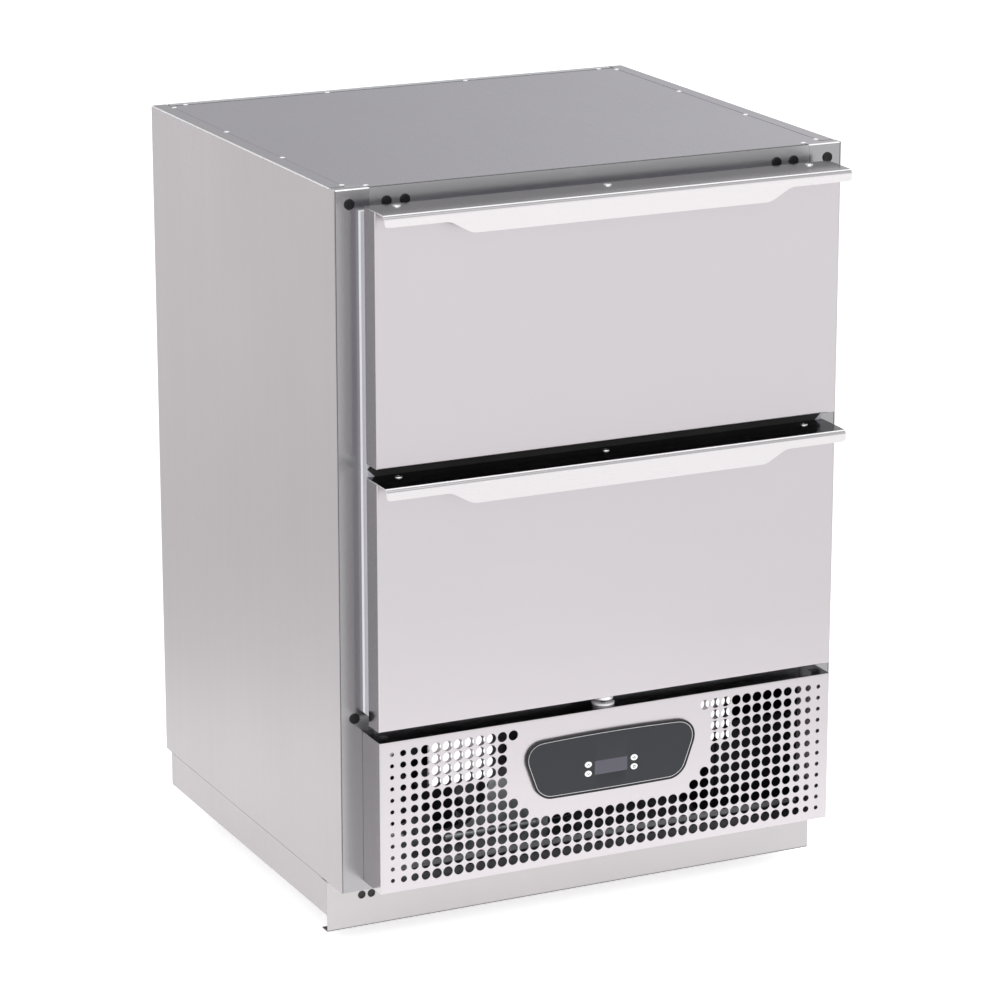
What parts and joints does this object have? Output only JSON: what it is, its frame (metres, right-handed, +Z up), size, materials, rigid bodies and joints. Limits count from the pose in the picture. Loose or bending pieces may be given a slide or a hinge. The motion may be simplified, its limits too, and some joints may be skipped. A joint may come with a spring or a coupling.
{
  "type": "bar refrigerator",
  "caption": "Stainless undercounter bar refrigerator with insulated drawers, full-width handles, perforated service grille with controls, and a set-back plinth.",
  "frame": {"origin": "bottom centre of the whole object, on the floor under the feet", "axes": "+Z up, -Y towards the drawer fronts, +X to the right of someone facing the drawers"},
  "size_m": [0.6, 0.6008, 0.8507],
  "materials": {
    "steel_outer": "brushed",
    "steel_front": "brushed",
    "steel_inner": "satin",
    "galvanised": "matt",
    "zinc": "satin",
    "liner_steel": "satin",
    "foam": "matt",
    "seal": "matt",
    "black_plastic": "satin",
    "grey_plastic": "matt",
    "panel_black": "satin",
    "display": "gloss",
    "button_white": "satin",
    "rubber_black": "matt",
    "compressor_black": "satin",
    "copper": "satin",
    "aluminium_fins": "satin",
    "fan_plastic": "satin"
  },
  "bodies": {
    "cabinet": {"side_panel_left": "steel_outer", "side_panel_right": "steel_outer", "top_panel": "steel_outer", "back_panel": "galvanised", "base_panel": "galvanised", "front_post_left": "steel_outer", "front_post_right": "steel_outer", "top_rail": "steel_outer", "middle_rail": "steel_outer", "lower_rail": "steel_outer", "insulation_foam": "foam", "inner_liner": "liner_steel", "plinth_front": "steel_front", "plinth_skirt": "steel_outer", "levelling_feet": "zinc", "hole_plugs": "black_plastic", "panel_tacks": "zinc", "drawer_gaskets": "seal", "cabinet_slides": "zinc", "evaporator_coil": "aluminium_fins", "evaporator_cover": "liner_steel", "evaporator_fan_motor": "grey_plastic", "drip_tray": "grey_plastic", "compressor": "compressor_black", "compressor_mounts": "rubber_black", "condenser": "aluminium_fins", "condenser_shroud": "galvanised", "condenser_fan_motor": "black_plastic", "refrigerant_lines": "copper", "condensate_pan": "grey_plastic", "electrical_box": "grey_plastic", "cable_gland": "black_plastic"},
    "upper_drawer": {"upper_drawer_front": "steel_front", "upper_drawer_back_pan": "steel_inner", "upper_drawer_foam": "foam", "upper_drawer_handle": "steel_front", "upper_handle_screws": "zinc", "upper_drawer_box": "steel_inner", "upper_drawer_slides": "zinc"},
    "upper_middle_members": {"upper_middle_slides": "zinc"},
    "lower_drawer": {"lower_drawer_front": "steel_front", "lower_drawer_back_pan": "steel_inner", "lower_drawer_foam": "foam", "lower_drawer_handle": "steel_front", "lower_handle_screws": "zinc", "lower_drawer_box": "steel_inner", "lower_drawer_slides": "zinc"},
    "lower_middle_members": {"lower_middle_slides": "zinc"},
    "grille": {"grille_panel": "steel_front", "captive_washer": "zinc", "control_panel": "panel_black", "display_window": "display", "controller": "black_plastic"},
    "thumb_screw": {"thumb_screw": "zinc"},
    "button_1": {"button_1": "button_white"},
    "button_2": {"button_2": "button_white"},
    "button_3": {"button_3": "button_white"},
    "button_4": {"button_4": "button_white"},
    "condenser_fan": {"condenser_fan": "fan_plastic"},
    "evaporator_fan": {"evaporator_fan": "fan_plastic"}
  },
  "joints": [
    {"name": "upper_drawer_slide", "type": "slide", "parent": "cabinet", "child": "upper_drawer", "axis": [0, -1, 0], "range_m": [0, 0.34]},
    {"name": "upper_middle_slide", "type": "slide", "parent": "cabinet", "child": "upper_middle_members", "axis": [0, -1, 0], "range_m": [0, 0.17]},
    {"name": "lower_drawer_slide", "type": "slide", "parent": "cabinet", "child": "lower_drawer", "axis": [0, -1, 0], "range_m": [0, 0.34]},
    {"name": "lower_middle_slide", "type": "slide", "parent": "cabinet", "child": "lower_middle_members", "axis": [0, -1, 0], "range_m": [0, 0.17]},
    {"name": "grille_lift_off", "type": "slide", "parent": "cabinet", "child": "grille", "axis": [0, -1, 0], "range_m": [0, 0.12]},
    {"name": "thumb_screw_turn", "type": "hinge", "parent": "grille", "child": "thumb_screw", "pos_m": [0, -0.2596, 0.2595], "axis": [0, 0, 1], "continuous": true},
    {"name": "button_1_press", "type": "slide", "parent": "grille", "child": "button_1", "axis": [0, 1, 0], "range_m": [0, 0.0006], "stiffness_N_per_m": 600},
    {"name": "button_2_press", "type": "slide", "parent": "grille", "child": "button_2", "axis": [0, 1, 0], "range_m": [0, 0.0006], "stiffness_N_per_m": 600},
    {"name": "button_3_press", "type": "slide", "parent": "grille", "child": "button_3", "axis": [0, 1, 0], "range_m": [0, 0.0006], "stiffness_N_per_m": 600},
    {"name": "button_4_press", "type": "slide", "parent": "grille", "child": "button_4", "axis": [0, 1, 0], "range_m": [0, 0.0006], "stiffness_N_per_m": 600},
    {"name": "condenser_fan_spin", "type": "hinge", "parent": "cabinet", "child": "condenser_fan", "pos_m": [-0.15, -0.1416, 0.1525], "axis": [0, 1, 0], "continuous": true},
    {"name": "evaporator_fan_spin", "type": "hinge", "parent": "cabinet", "child": "evaporator_fan", "pos_m": [0, 0.1724, 0.678], "axis": [0, 1, 0], "continuous": true}
  ],
  "couplings": [
    {"joint": "upper_middle_slide", "follows": "upper_drawer_slide", "ratio": 0.5},
    {"joint": "lower_middle_slide", "follows": "lower_drawer_slide", "ratio": 0.5}
  ]
}
